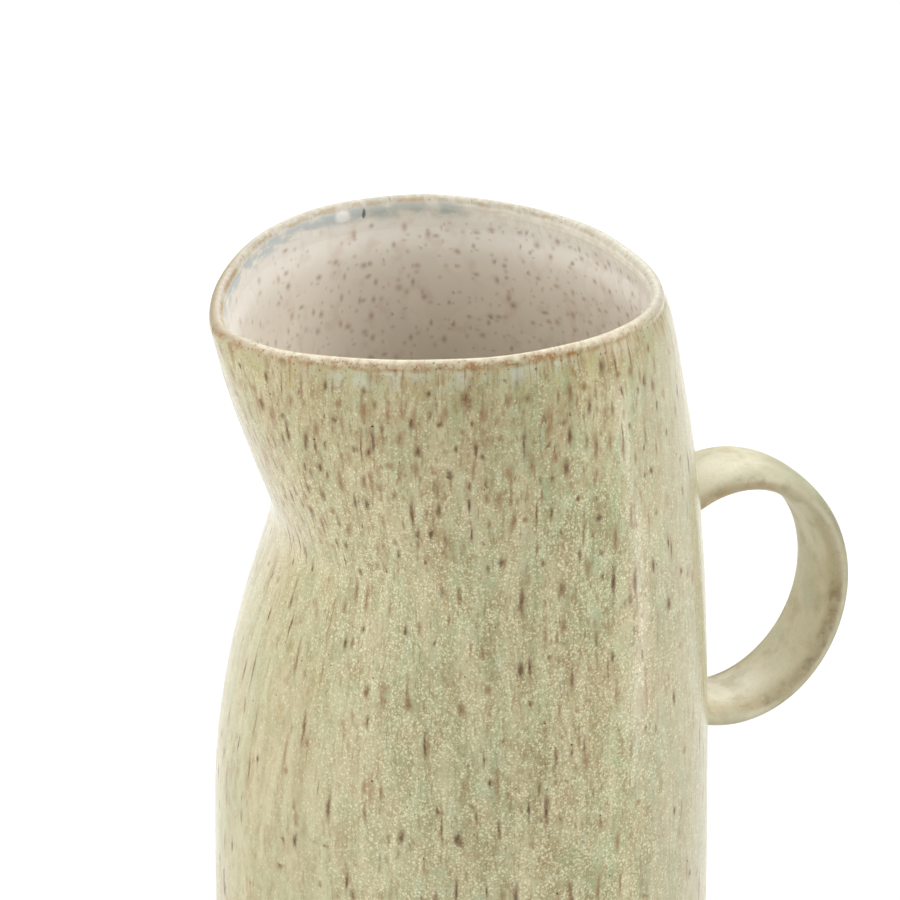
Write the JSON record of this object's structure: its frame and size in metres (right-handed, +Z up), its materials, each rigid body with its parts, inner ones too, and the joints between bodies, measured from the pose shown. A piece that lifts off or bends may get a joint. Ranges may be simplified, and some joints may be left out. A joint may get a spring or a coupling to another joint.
{
  "type": "pouring carafe",
  "caption": "Tall stoneware carafe with a folded pouring spout, an upright oval strap handle luted to the wall, speckled glaze outside and a plain lining glaze inside.",
  "frame": {"origin": "centre of the flat unglazed base, on the body's axis", "axes": "+Z up along the body's axis, -X towards the spout, +X towards the handle, XZ is the mirror plane"},
  "size_m": [0.1499, 0.112, 0.2078],
  "materials": {
    "outer_glaze": "satin-gloss speckled reactive glaze over stoneware",
    "lining_glaze": "glossy pale lining glaze with brown iron specks",
    "handle_glaze": "satin-gloss glaze, thinner and paler than on the wall, breaking brown at the edges"
  },
  "bodies": {
    "root": {"body": "outer_glaze", "inner_glaze": "lining_glaze", "handle": "handle_glaze", "handle_joint_upper": "outer_glaze", "handle_joint_lower": "outer_glaze"}
  },
  "joints": []
}
